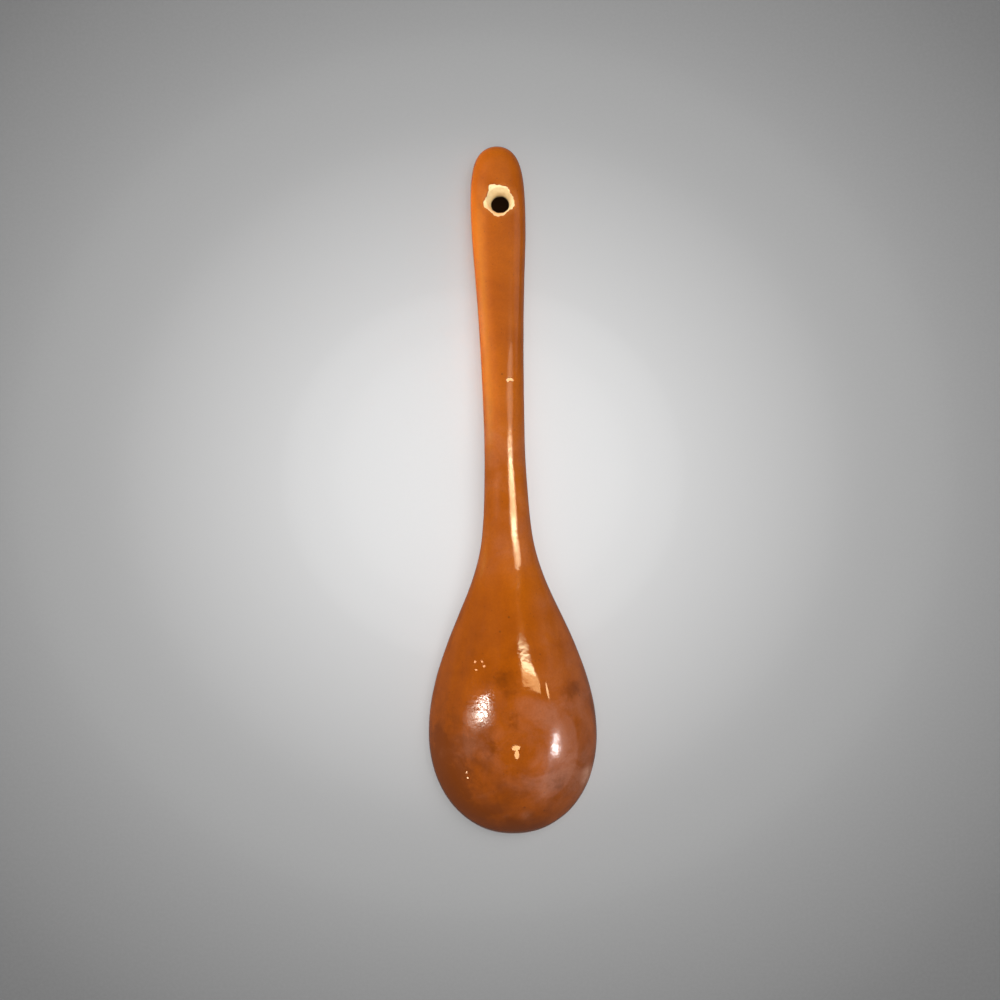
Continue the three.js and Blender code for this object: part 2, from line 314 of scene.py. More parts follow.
class Shape:
    def __init__(self):
        self.points, self.faces, self.count = [], [], 0

    def add(self, p):
        p = np.asarray(p, float)
        flat = p.reshape(-1, 3)
        ids = np.arange(self.count, self.count + len(flat)).reshape(p.shape[:-1])
        self.points.append(flat)
        self.count += len(flat)
        return ids

    def quads(self, a, b, c, d):
        self.faces += np.stack([np.ravel(v) for v in (a, b, c, d)], -1).tolist()

    def strip(self, rings):
        """Closed rings of equal length, joined one after the other."""
        for a, b in zip(rings, rings[1:]):
            self.quads(a, np.roll(a, -1), np.roll(b, -1), b)

    def grid(self, p, first, last, holes, flip):
        """Closed tube of stations with a point at each end, left open at `holes`."""
        ids = self.add(p)
        n = ids.shape[1]
        nxt = np.roll(ids, -1, axis=1)
        a, b, c, d = ids[:-1], nxt[:-1], nxt[1:], ids[1:]
        keep = np.ones(a.shape, bool)
        for (i0, i1), (j0, j1) in holes:
            keep[i0:i1, j0:j1] = False
        a, b, c, d = a[keep], b[keep], c[keep], d[keep]
        tip, end = self.add(first[None])[0], self.add(last[None])[0]
        if flip:
            self.quads(a, d, c, b)
        else:
            self.quads(a, b, c, d)
        for j in range(n):
            k = (j + 1) % n
            caps = [[tip, ids[0, k], ids[0, j]], [end, ids[-1, j], ids[-1, k]]]
            self.faces += [f[::-1] for f in caps] if flip else caps
        return ids

    def build(self, name):
        p = np.concatenate(self.points)
        used = np.zeros(len(p), bool)
        for f in self.faces:
            used[f] = True
        index = np.cumsum(used) - 1
        p = p[used]
        faces = [[int(index[v]) for v in f] for f in self.faces]
        volume = 0.0
        for f in faces:
            for k in range(1, len(f) - 1):
                volume += np.dot(p[f[0]], np.cross(p[f[k]], p[f[k + 1]]))
        if volume < 0:
            faces = [f[::-1] for f in faces]
        world = (p + np.array([0, CENTRE_SHIFT, 0])) * 0.001
        mesh = bpy.data.meshes.new(name)
        mesh.from_pydata(world.tolist(), [], faces)
        mesh.polygons.foreach_set("use_smooth", [True] * len(mesh.polygons))
        mesh.set_sharp_from_angle(angle=math.radians(48))
        mesh.update()
        piece = bpy.data.objects.new(name, mesh)
        bpy.context.scene.collection.objects.link(piece)
        return piece, p


def loop_of(ids, block):
    """Vertices round the edge of a block of the grid, in order."""
    (i0, i1), (j0, j1) = block
    top = [(i0, j) for j in range(j0, j1)]
    right = [(i, j1) for i in range(i0, i1)]
    low = [(i1, j) for j in range(j1, j0, -1)]
    left = [(i, j0) for i in range(i1, i0, -1)]
    order = top + right + low + left
    return np.array([ids[i, j % ids.shape[1]] for i, j in order]), order


def finer(s, low, high, times):
    """Adds stations between two places along the length."""
    out = []
    for a, b in zip(s, s[1:]):
        out.append(a)
        if low <= float(y_of((a + b) / 2)) <= high:
            out += [a + (b - a) * k / times for k in range(1, times)]
    return np.array(out + [s[-1]])


stations = np.linspace(0, 1, STATIONS + 1)
stations = finer(stations, HOLE[1] - 9, HOLE[1] + 9, 3)
stations = finer(stations, CHIP[1] - 2.8, CHIP[1] + 2.6, 5)
stations = stations[1:-1]
angles = 2 * np.pi * np.arange(ROUND) / ROUND


def block_at(centre, half_x, half_y):
    """Block of the grid on the back of the spoon round a place in plan."""
    y = y_of(stations)
    i0 = int(np.searchsorted(y, centre[1] - half_y)) - 1
    i1 = int(np.searchsorted(y, centre[1] + half_y))
    w = float(half_width(centre[1]))
    j0 = int(np.floor(np.arccos((centre[0] + half_x) / w) / (2 * np.pi) * ROUND))
    j1 = int(np.ceil(np.arccos((centre[0] - half_x) / w) / (2 * np.pi) * ROUND))
    return (i0, i1), (j0, j1)


hole_back = block_at(HOLE, 7.2, 7.9)
hole_front = (hole_back[0], (ROUND - hole_back[1][1], ROUND - hole_back[1][0]))
chip_back = block_at((CHIP[0], CHIP[1] - 0.1), 2.1, 1.9)

grid_p, grid_n = section_points(stations, angles)
tip_p = outer(1.0, BOWL_END + 1e-6, 1.0)
end_p = outer(1.0, HANDLE_END - 1e-6, 1.0)
tip_p[0] = end_p[0] = 0
tip_n = grid_n[0].sum(0) / np.linalg.norm(grid_n[0].sum(0))
end_n = grid_n[-1].sum(0) / np.linalg.norm(grid_n[-1].sum(0))
if grid_n[len(stations) // 2, ROUND // 4, 2] < 0:      # outward is up on the back
    grid_n, tip_n, end_n = -grid_n, -tip_n, -end_n


def skin(inset):
    return (
        set_in(grid_p, grid_n, inset),
        set_in(tip_p[None], tip_n[None], inset)[0],
        set_in(end_p[None], end_n[None], inset)[0],
    )


def edge_noise(angle, seed, size):
    """Small closed wobble of an edge, the same every run."""
    rng = np.random.default_rng(seed)
    total = np.zeros_like(angle)
    for k in range(5, 34):
        total += rng.normal() * np.cos(k * angle + rng.uniform(0, 2 * np.pi)) / k**0.9
    return size * total


class Opening:
    """Rings of points between a block of the grid and an uneven opening in it."""

    def __init__(self, pole, edge, block, side, wobble, seed):
        self.pole, self.side = np.array(pole), side
        order = loop_of(np.zeros((len(stations), ROUND), int), block)[1]
        start = np.array([grid_p[i, j % ROUND, :2] for i, j in order])
        away = start - self.pole
        self.angle = np.arctan2(away[:, 1], away[:, 0])
        self.away = away / np.linalg.norm(away, axis=1, keepdims=True)
        self.reach = np.linalg.norm(away, axis=1)
        self.edge = edge(self.angle) + edge_noise(self.angle, seed, wobble)

    def ring(self, distance, inset, rough=None):
        """Ring at a distance from the opening's edge, set into the surface."""
        r = self.edge + distance
        return self.at(r, inset, rough)

    def between(self, share, near, inset, rough=None):
        """Ring part of the way from the block (0) to `near` from the edge (1)."""
        r = self.reach + (self.edge + near - self.reach) * share
        return self.at(r, inset, rough)

    def at(self, r, inset, rough=None):
        xy = self.pole + self.away * r[:, None]
        p, n = plan_point(xy[:, 0], xy[:, 1], self.side)
        q = set_in(p, n, inset)
        if rough is not None:
            q = q + n * rough(q)[:, None]
        return q


def softened(d):
    """How far a rounded edge has dropped at distance d from its end."""
    d = min(max(d, 0.0), EDGE_RADIUS)
    return EDGE_RADIUS - math.sqrt(EDGE_RADIUS**2 - (EDGE_RADIUS - d) ** 2)


# coat of glaze: two skins joined round each opening
coat = Shape()
blocks = [hole_back, hole_front, chip_back]
out_ids = coat.grid(*skin(0.0), blocks, False)
in_ids = coat.grid(*skin(GLAZE), blocks, True)
openings = [
    (Opening(HOLE, closed_curve(BARE_BACK), hole_back, 1.0, 0.36, 3), hole_back, 0.9, 4),
    (Opening(HOLE, closed_curve(BARE_FRONT), hole_front, -1.0, 0.25, 5), hole_front, 0.9, 4),
    (Opening(CHIP_POLE, closed_curve(CHIP_EDGE), chip_back, 1.0, 0.012, 8), chip_back, 0.3, 2),
]
for opening, block, near, steps in openings:
    scale = near / 0.9
    rings = [loop_of(out_ids, block)[0]]
    for k in range(1, steps + 1):
        rings.append(coat.add(opening.between(k / steps, near, 0.0)))
    for d in (0.62, 0.42, 0.28, 0.2, 0.13, 0.075, 0.035, 0.01):
        d *= scale if d > EDGE_RADIUS else 1.0
        if d < near:
            rings.append(coat.add(opening.ring(d, softened(d))))
    for d, inset in ((-0.012, 0.24), (-0.05, 0.33), (-0.075, GLAZE)):
        rings.append(coat.add(opening.ring(d, inset)))
    rings.append(coat.add(opening.ring(0.2 * scale, GLAZE)))
    for k in range(steps, 0, -1):
        rings.append(coat.add(opening.between(k / steps, near, GLAZE)))
    rings.append(loop_of(in_ids, block)[0])
    coat.strip(rings)
glaze_piece, glaze_p = coat.build("glaze_shell")

# clay body: one skin, with the hole from face to face
body = Shape()
body_ids = body.grid(*skin(CLAY_INSET), [hole_back, hole_front], False)
back, front = openings[0][0], openings[1][0]
_grain = np.random.default_rng(23)
GRAIN_DIR = _grain.normal(size=(40, 3))
GRAIN_DIR /= np.linalg.norm(GRAIN_DIR, axis=1, keepdims=True)
GRAIN_LEN = _grain.uniform(0.45, 2.6, 40)
GRAIN_PHASE = _grain.uniform(0, 2 * np.pi, 40)


def grain(p):
    """Roughness of broken, unglazed clay."""
    total = np.zeros(len(p))
    for d, length, phase in zip(GRAIN_DIR, GRAIN_LEN, GRAIN_PHASE):
        total += length * np.sin(2 * np.pi * (p @ d) / length + phase)
    return np.clip(0.0042 * total, -0.12, 0.05)


mouth = 4.62 + 0.06 * np.cos(2 * back.angle + 0.6) + edge_noise(back.angle, 14, 0.05)
mouth += 0.4 * np.maximum(0, np.cos(back.angle + np.pi / 2)) ** 2
mouth = np.minimum(mouth, back.edge - 0.34)
rings = [loop_of(body_ids, hole_back)[0]]
for share in (0.25, 0.5, 0.75, 1.0):
    rings.append(body.add(back.between(share, 0.5, CLAY_INSET)))
rings.append(body.add(back.ring(0.12, CLAY_INSET)))
for share in (0.0, 0.2, 0.4, 0.6, 0.78, 0.9):
    r = (back.edge - 0.06) * (1 - share) + (mouth + 0.1) * share
    rings.append(body.add(back.at(r, CLAY_INSET, grain)))
lip = back.at(mouth, CLAY_INSET)
axis = np.stack([np.cos(back.angle), np.sin(back.angle), np.zeros_like(back.angle)], -1)
pole = np.array([HOLE[0], HOLE[1], 0.0])


def bore_ring(radius, z, rough, shift=0.0):
    p = pole + axis * radius[:, None]
    p[:, :2] += np.array(BORE_SHIFT) * shift
    p[:, 2] = z
    return p + axis * (rough * grain(p * 0.8))[:, None]


rings.append(body.add(bore_ring(mouth - 0.02, lip[:, 2] - 0.1, 0.4)))
rings.append(body.add(bore_ring(mouth - 0.14, lip[:, 2] - 0.26, 0.6)))
top_z = lip[:, 2] - 0.26
low_z = 1.2
for share in np.linspace(0.07, 1.0, 15):
    z = top_z + (low_z - top_z) * share
    nominal = bore_radius(8.15 + (low_z - 8.15) * share)
    keep = max(0.0, 1 - share / 0.3)
    radius = nominal + (mouth - 0.14 - bore_radius(8.15)) * keep**1.4
    rings.append(body.add(bore_ring(radius, z, 1.0, float(smooth(0.0, 0.4, share)))))
for radius, z in ((3.56, 0.85), (3.74, 0.62), (3.98, 0.48)):
    rings.append(body.add(bore_ring(np.full(len(axis), radius), np.full(len(axis), z), 0.5, 1.0)))

# on the face the same spokes run out again to the block below
mirror = [(i, ROUND - j) for i, j in loop_of(body_ids, hole_back)[1]]
start = np.array([grid_p[i, j % ROUND, :2] for i, j in mirror])
reach = np.linalg.norm(start - pole[:2], axis=1)
for r in (np.full(len(axis), 4.3), np.full(len(axis), 4.7)):
    xy = pole[:2] + axis[:, :2] * r[:, None]
    rings.append(body.add(set_in(*plan_point(xy[:, 0], xy[:, 1], -1.0), CLAY_INSET)))
for share in (0.25, 0.5, 0.75):
    xy = pole[:2] + axis[:, :2] * (4.7 + (reach - 4.7) * share)[:, None]
    rings.append(body.add(set_in(*plan_point(xy[:, 0], xy[:, 1], -1.0), CLAY_INSET)))
rings.append(np.array([body_ids[i, j % ROUND] for i, j in mirror]))
body.strip(rings)
clay_piece, clay_p = body.build("clay_core")


def paint(piece, name, values):
    layer = piece.data.attributes.new(name, "FLOAT", "POINT")
    layer.data.foreach_set("value", np.asarray(values, dtype=np.float32))


# where the glaze runs thin over an edge, where it has pooled and where shade is painted darker on the lower left and
# the flanks of the bowl, the inside, and wear from the hand
gx, gy, gz = glaze_p.T
share_x = np.abs(gx) / np.maximum(half_width(np.clip(gy, BOWL_END, HANDLE_END)), 0.3)
share_x = np.clip(share_x, 0, 1)
edge_share = 1 - closing(np.clip(gy, BOWL_END, HANDLE_END)) * (1 - share_x**2)
on_handle = smooth(-30, 5, gy)
under = np.where(gz < mid_height(gx, np.clip(gy, BOWL_END + 0.01, HANDLE_END - 0.01)), 1.0, 0.0)
hole_away = np.hypot(gx - HOLE[0], gy - HOLE[1])
thin = 0.22 * (1 - smooth(5.2, 6.9, hole_away))
# painted shade, partly pooled glaze: the bowl darker towards its lower left, its tip and its flanks
run = -0.55 * gx / BOWL_W - 0.6 * (gy + 72) / 45
pool_and_painted_shade = (1 - on_handle) * (smooth(0.1, 1.0, run) + 0.6 * smooth(0.97, 1.0, edge_share))
pool_and_painted_shade *= 1 - 0.6 * np.exp(-((gx + 27) / 9.0) ** 2 - ((gy + 78) / 15.0) ** 2)
pool_and_painted_shade += 0.28 * np.exp(-(gx**2 + (gy + 80) ** 2) / 9.0**2)
worn = smooth(14, 42, gy)


# soft clouds on the bowl's back, (x, y, radius, strength): the dark ones in the glaze, the milky ones partly in the
# glaze and partly painted reflection
DARK_CLOUDS = [
    (-2.8, -64.5, 4.2, 0.75), (0.4, -69, 3.0, 0.4), (20.3, -69, 3.6, 0.9), (17, -52, 3.4, 0.5),
    (-25, -84.5, 4.6, 0.6), (-19.5, -98, 8.0, 0.7), (-0.4, -80, 3.0, 0.4), (14.2, -100.5, 2.8, 0.5),
    (-5.5, -86.5, 4.5, 0.45), (20, -107, 5.0, 0.15), (1.5, -64, 3.0, 0.4),
    (-0.5, -75.5, 3.2, 0.4),
]
# milky clouds, partly real haze in the glaze and partly painted reflection, such as the tail of the left highlight and
# a glint at the right rim
MILKY_AND_SHEEN_CLOUDS = [
    (10.5, -76, 6.0, 0.25), (3, -71.5, 4.5, 0.4), (-6.2, -86, 5.5, 0.3), (15.5, -93.5, 7.0, 0.95), (20.8, -98, 5.0, 0.8),
    (16.2, -72, 6.0, 0.6), (14, -50, 4.5, 0.5), (10.2, -105.5, 5.0, 0.5), (20, -105, 4.5, 0.5), (-14.6, -81, 4.5, 0.3),
    (12, -39, 4.0, 0.35), (5.5, -97, 6.0, 0.35), (25.4, -99.5, 2.6, 1.0), (3.8, -110.8, 2.2, 0.5),
]


def clouds(places):
    total = np.zeros_like(gx)
    for x, y, radius, strength in places:
        total += strength * np.exp(-((gx - x) ** 2 + (gy - y) ** 2) / radius**2)
    return np.clip(total, 0, 1)


# where the surface of the glaze is pebbled
PEBBLED = [(-10, -73, 9.0, 1.0), (14, -87.5, 7.0, 0.6), (4.6, -54, 6.5, 0.7)]

# pale marks near the rim: a painted reflection of a glint at the right rim, and a pale fleck at the tip
RIM_GLINT_AND_FLECK = [(25.7, -98.4, 1.9, 1.0), (24.6, -101.5, 1.6, 0.7), (3.8, -110.8, 1.4, 0.2)]

back_side = 1 - under * (1 - on_handle)
paint(glaze_piece, "glint_and_fleck", clouds(RIM_GLINT_AND_FLECK) * back_side)
SMOOTH = [(-10.8, -59, 6.0, 1.0), (-16.1, -98, 5.0, 1.0), (1.0, -87, 8.5, 1.0), (12, -68.5, 5.0, 0.8)]
pebble = 0.28 + 0.72 * np.clip(clouds(PEBBLED) + 0.4 * smooth(-32, -14, gy), 0, 1)
paint(glaze_piece, "pebble", pebble * (1 - clouds(SMOOTH)))
paint(glaze_piece, "ripple", 1 - clouds(SMOOTH))
paint(glaze_piece, "dark", clouds(DARK_CLOUDS) * back_side)
# milky tone, partly haze in the glaze and partly painted sheen
milk_and_sheen = 0.2 * smooth(-62, -80, gy) * (1 - smooth(-94, -106, gy)) * (1 - 0.7 * smooth(-6, -18, gx))
milk_and_sheen += 0.22 * smooth(-2, 16, gx) * smooth(-46, -66, gy) * (1 - smooth(-100, -112, gy))
milk_and_sheen += 0.4 * smooth(-36, -20, gy) * (1 - smooth(22, 44, gy))
paint(glaze_piece, "milk_and_sheen", np.clip(clouds(MILKY_AND_SHEEN_CLOUDS) + milk_and_sheen, 0, 1) * back_side)
paint(glaze_piece, "thin", thin)
paint(glaze_piece, "pool_and_painted_shade", pool_and_painted_shade)
paint(glaze_piece, "inside", under * (1 - on_handle))
paint(glaze_piece, "worn", worn)

cx, cy, cz = clay_p.T
# painted shade: the clay darkens to near black deeper in the bore
in_bore = (np.hypot(cx - HOLE[0], cy - HOLE[1]) < 4.7) & (cz < 8.3)
paint(clay_piece, "deep", np.where(in_bore, 1 - smooth(1.6, 4.8, cz), 0.0))
lip_turn = np.cos(np.arctan2(cy - HOLE[1], cx - HOLE[0]) - math.radians(250))
paint(clay_piece, "blush", smooth(0.2, 0.95, lip_turn) * (cz > 6.5))

# ---- materials --------------------------------------------------------------


class Nodes:
    """Short way to lay out a node tree."""

    def __init__(self, name):
        self.material = bpy.data.materials.new(name)
        self.material.use_nodes = True
        self.tree = self.material.node_tree
        self.tree.nodes.clear()

    def new(self, kind, **values):
        node = self.tree.nodes.new(kind)
        inputs = values.pop("inputs", {})
        for key, value in values.items():
            setattr(node, key, value)
        for key, value in inputs.items():
            self.set(node, key, value)
        return node

    def set(self, node, key, value):
        socket = node.inputs[key]
        if isinstance(value, bpy.types.NodeSocket):
            self.tree.links.new(value, socket)
        else:
            socket.default_value = value

    def math(self, operation, a, b=0.0, clamp=False):
        return self.new("ShaderNodeMath", operation=operation, use_clamp=clamp,
                        inputs={0: a, 1: b}).outputs[0]

    def span(self, value, low, high, to_low=0.0, to_high=1.0):
        return self.new("ShaderNodeMapRange", interpolation_type="SMOOTHSTEP", inputs={
            "Value": value, "From Min": low, "From Max": high, "To Min": to_low, "To Max": to_high,
        }).outputs["Result"]

    def mix(self, factor, a, b, blend="MIX"):
        node = self.new("ShaderNodeMix", data_type="RGBA", blend_type=blend)
        self.set(node, 0, factor)
        self.set(node, 6, a)
        self.set(node, 7, b)
        return node.outputs[2]

    def place(self, scale=(1, 1, 1)):
        where = self.new("ShaderNodeTexCoord").outputs["Object"]
        return self.new("ShaderNodeMapping", inputs={"Vector": where, "Scale": scale}).outputs[0]

    def noise(self, scale, detail=3.0, roughness=0.5, distortion=0.0, stretch=(1, 1, 1)):
        return self.new("ShaderNodeTexNoise", inputs={
            "Vector": self.place(stretch), "Scale": scale, "Detail": detail,
            "Roughness": roughness, "Distortion": distortion,
        }).outputs["Fac"]

    def specks(self, scale, size, share):
        """Small round spots in a share of the cells of a scatter."""
        cells = self.new("ShaderNodeTexVoronoi", feature="F1", inputs={
            "Vector": self.place(), "Scale": scale, "Randomness": 1.0,
        })
        pick = self.new("ShaderNodeSeparateColor", inputs={"Color": cells.outputs["Color"]})
        spot = self.span(cells.outputs["Distance"], size * 0.45, size, 1.0, 0.0)
        return self.math("MULTIPLY", spot, self.math("GREATER_THAN", pick.outputs[0], 1 - share))

    def value(self, name):
        return self.new("ShaderNodeAttribute", attribute_name=name).outputs["Fac"]

    def bump(self, height, distance, strength=1.0, normal=None):
        node = self.new("ShaderNodeBump", inputs={
            "Height": height, "Distance": distance, "Strength": strength,
        })
        if normal is not None:
            self.set(node, "Normal", normal)
        return node.outputs[0]

    def finish(self, **inputs):
        shader = self.new("ShaderNodeBsdfPrincipled")
        for key, value in inputs.items():
            self.set(shader, key.replace("_", " "), value)
        out = self.new("ShaderNodeOutputMaterial")
        self.tree.links.new(shader.outputs[0], out.inputs["Surface"])
        return self.material


def glaze_material():
    n = Nodes("caramel_glaze")
    cloud = n.noise(42, 4, 0.55, 0.5)
    mottle = n.noise(150, 5, 0.6, 0.3)
    streak = n.noise(1.0, 3, 0.5, 0.4, stretch=(230, 26, 230))
    along = n.new("ShaderNodeSeparateXYZ", inputs={"Vector": n.place()}).outputs["Y"]
    rise = n.span(along, -0.1, -0.02)
    patchy = n.span(cloud, 0.3, 0.7)
    grains = n.span(mottle, 0.3, 0.7)
    depth = n.math("ADD", n.math("MULTIPLY", rise, 0.38), n.math("MULTIPLY", patchy, 0.34))
    depth = n.math("ADD", depth, n.math("MULTIPLY", grains, 0.14))
    depth = n.math("ADD", depth, n.math("MULTIPLY", streak, 0.26))
    # painted shade and pooled glaze darken the bowl here
    depth = n.math("SUBTRACT", depth, n.math("MULTIPLY", n.value("pool_and_painted_shade"), 0.25))
    depth = n.math("SUBTRACT", depth, n.math("MULTIPLY", n.value("inside"), 0.1))
    depth = n.math("SUBTRACT", depth, n.span(along, 0.09, 0.114, 0.0, 0.17))
    ragged = n.noise(320, 4, 0.6, 0.4)
    spots = n.math("ADD", n.value("dark"), n.math("MULTIPLY", n.math("SUBTRACT", ragged, 0.5), 1.2))
    spots = n.math("MULTIPLY", n.span(spots, 0.15, 0.8), n.span(n.value("dark"), 0.02, 0.2))
    depth = n.math("SUBTRACT", depth, n.math("MULTIPLY", spots, 0.3))
    ramp = n.new("ShaderNodeValToRGB", inputs={"Fac": depth})
    stops = [
        (0.16, (0.185, 0.0385, 0.0024)), (0.4, (0.28, 0.0585, 0.0022)), (0.62, (0.343, 0.0735, 0.002)),
        (0.84, (0.4, 0.0905, 0.002)), (1.0, (0.44, 0.1055, 0.0022)),
    ]
    while len(ramp.color_ramp.elements) < len(stops):
        ramp.color_ramp.elements.new(0.5)
    for element, (place, colour) in zip(ramp.color_ramp.elements, stops):
        element.position, element.color = place, (*colour, 1)
    colour = ramp.outputs["Color"]
    thin = n.math("MULTIPLY", n.value("thin"), n.span(mottle, 0.2, 0.75, 0.55, 1.0))
    colour = n.mix(thin, colour, (0.58, 0.21, 0.05, 1))
    iron = n.math("MULTIPLY", n.specks(300, 0.15, 0.1), 0.55)
    colour = n.mix(iron, colour, (0.085, 0.022, 0.006, 1))
    fine = n.math("MULTIPLY", n.specks(850, 0.26, 0.14), 0.45)
    colour = n.mix(fine, colour, (0.13, 0.033, 0.006, 1))
    worn = n.value("worn")
    wisps = n.noise(95, 5, 0.62, 0.6)
    haze_and_sheen = n.math("MULTIPLY", n.value("milk_and_sheen"), n.span(wisps, 0.36, 0.64, 0.15, 1.1))
    haze_and_sheen = n.math("ADD", haze_and_sheen, n.span(wisps, 0.56, 0.8, 0.0, 0.3), True)
    haze_and_sheen = n.math("MULTIPLY", haze_and_sheen, n.math("SUBTRACT", 1.0, n.math("MULTIPLY", worn, 0.85)))
    haze_and_sheen = n.math("MULTIPLY", haze_and_sheen, n.math("SUBTRACT", 1.0, n.math("MULTIPLY", spots, 0.75)))
    # painted reflection in part: the pale milky tone also stands in for sheen on the bowl
    colour = n.mix(n.math("MULTIPLY", haze_and_sheen, 0.48), colour, (0.44, 0.168, 0.092, 1))
    # painted reflection: a pale glint at the right rim, and a pale fleck at the tip
    glint_and_fleck = n.math("MULTIPLY", n.value("glint_and_fleck"), n.span(ragged, 0.3, 0.62, 0.2, 0.75))
    colour = n.mix(glint_and_fleck, colour, (0.62, 0.31, 0.2, 1))
    grain = n.noise(1500, 2, 0.6)
    colour = n.mix(n.span(grain, 0.3, 0.7, 0.0, 0.16), colour, (0.12, 0.03, 0.004, 1))
    scuff = n.span(n.noise(1.0, 4, 0.6, 1.5, stretch=(900, 120, 500)), 0.62, 0.72)
    rough = n.math("ADD", n.span(mottle, 0.25, 0.8, 0.05, 0.08), n.math("MULTIPLY", haze_and_sheen, 0.03))
    rough = n.math("ADD", rough, n.math("MULTIPLY", scuff, 0.05))
    rough = n.math("ADD", rough, n.math("MULTIPLY", worn, 0.075))
    rough = n.math("ADD", rough, n.math("MULTIPLY", n.value("pebble"), 0.045))
    rough = n.math("MULTIPLY", rough, n.span(n.value("ripple"), 0.0, 1.0, 0.4, 1.0))
    wave = n.math("MULTIPLY", n.math("SUBTRACT", n.noise(210, 2, 0.5), 0.5), n.value("ripple"))
    peel = n.math("MULTIPLY", n.math("SUBTRACT", n.noise(680, 2.5, 0.55), 0.5), n.value("pebble"))
    normal = n.bump(wave, 0.00005, 1.0)
    normal = n.bump(peel, 0.00006, 1.0, normal)
    pits = n.specks(520, 0.13, 0.04)
    normal = n.bump(n.math("MULTIPLY", pits, -1.0), 0.00005, 0.8, normal)
    return n.finish(Base_Color=colour, Roughness=rough, IOR=1.42, Normal=normal)


def clay_material():
    n = Nodes("cream_clay")
    cloud = n.noise(160, 4, 0.6, 0.4)
    grit = n.noise(1500, 4, 0.65)
    colour = n.mix(n.span(cloud, 0.3, 0.7), (0.86, 0.67, 0.36, 1), (0.78, 0.57, 0.29, 1))
    colour = n.mix(n.math("MULTIPLY", n.span(grit, 0.35, 0.75), 0.22), colour, (0.66, 0.46, 0.2, 1))
    colour = n.mix(n.math("MULTIPLY", n.specks(1300, 0.22, 0.14), 0.55), colour, (0.34, 0.19, 0.08, 1))
    stain = n.math("MULTIPLY", n.span(n.noise(420, 3, 0.6, 0.8), 0.5, 0.75), 0.25)
    colour = n.mix(stain, colour, (0.55, 0.27, 0.08, 1))
    blush = n.math("MULTIPLY", n.value("blush"), n.span(cloud, 0.25, 0.6, 0.45, 0.8))
    colour = n.mix(blush, colour, (0.84, 0.43, 0.17, 1))
    # painted shade deep in the bore
    painted_bore_shade = n.math("MULTIPLY", n.value("deep"), n.span(cloud, 0.1, 0.6, 0.9, 1.0))
    colour = n.mix(painted_bore_shade, colour, (0.018, 0.009, 0.0045, 1))
    normal = n.bump(grit, 0.00008, 0.7)
    normal = n.bump(cloud, 0.00012, 0.5, normal)
    return n.finish(
        Base_Color=colour, Roughness=n.span(grit, 0.3, 0.8, 0.72, 0.92), IOR=1.45, Normal=normal,
        Specular_IOR_Level=0.35,
    )


def floor_material():
    n = Nodes("paper_with_painted_light_pool")
    # painted pool of light: the floor is pale in the middle and darker further out
    middle = (-0.008, 0.006, 0.0)
    away = n.new("ShaderNodeVectorMath", operation="DISTANCE", inputs={0: n.place((1, 1.07, 1)), 1: middle}).outputs["Value"]
    ramp = n.new("ShaderNodeValToRGB", inputs={"Fac": n.math("MULTIPLY", away, 2.5)})
    stops = [(0.0, 0.79), (0.07, 0.785), (0.13, 0.73), (0.18, 0.635), (0.31, 0.45), (0.42, 0.34),
             (0.585, 0.22), (0.75, 0.17), (1.0, 0.15)]
    while len(ramp.color_ramp.elements) < len(stops):
        ramp.color_ramp.elements.new(0.5)
    for element, (place, grey) in zip(ramp.color_ramp.elements, stops):
        element.position, element.color = place, (grey, grey, grey, 1)
    ramp.color_ramp.interpolation = "CARDINAL"
    fibre = n.noise(900, 3, 0.6)
    colour = n.mix(n.span(fibre, 0.3, 0.7, 0.0, 0.03), ramp.outputs["Color"], (0.6, 0.6, 0.6, 1))
    # painted shade: the floor under the hole is darkened almost to black
    below = ((HOLE[0]) * 0.001, (HOLE[1] + CENTRE_SHIFT) * 0.001, 0.0)
    near = n.new("ShaderNodeVectorMath", operation="DISTANCE", inputs={0: n.place(), 1: below})
    shade = n.span(near.outputs["Value"], 0.0045, 0.0065, 1.0, 0.0)
    colour = n.mix(shade, colour, (0.011, 0.0045, 0.0018, 1))
    return n.finish(Base_Color=colour, Roughness=0.9, Specular_IOR_Level=0.1)


glaze_piece.data.materials.append(glaze_material())
clay_piece.data.materials.append(clay_material())
for piece, node, slot in ((glaze_piece, "glaze_coat", "glaze"), (clay_piece, "clay_body", "clay")):
    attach(piece, "root")
    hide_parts(node)

# ---- floor, camera and light ------------------------------------------------

floor_mesh = bpy.data.meshes.new("floor")
floor_mesh.from_pydata([(-4, -4, 0), (4, -4, 0), (4, 4, 0), (-4, 4, 0)], [], [(0, 1, 2, 3)])
floor = bpy.data.objects.new("floor", floor_mesh)
floor.location = (0, 0, -0.00005)
bpy.context.scene.collection.objects.link(floor)
floor_mesh.materials.append(floor_material())
floor.visible_glossy = False

CAMERA_UP = 0.42                 # above the floor
FRAME_WIDTH = 0.3519             # seen on the floor
CAMERA_ROLL = -0.0285
camera_data = bpy.data.cameras.new("camera")
camera_data.sensor_width = 36
camera_data.lens = 36 * CAMERA_UP / FRAME_WIDTH
camera_data.clip_start, camera_data.clip_end = 0.01, 20
camera = bpy.data.objects.new("camera", camera_data)
camera.location = (-0.00216, (-3.59 + CENTRE_SHIFT) * 0.001, CAMERA_UP)
camera.rotation_euler = (0, 0, CAMERA_ROLL)
bpy.context.scene.collection.objects.link(camera)
bpy.context.scene.camera = camera

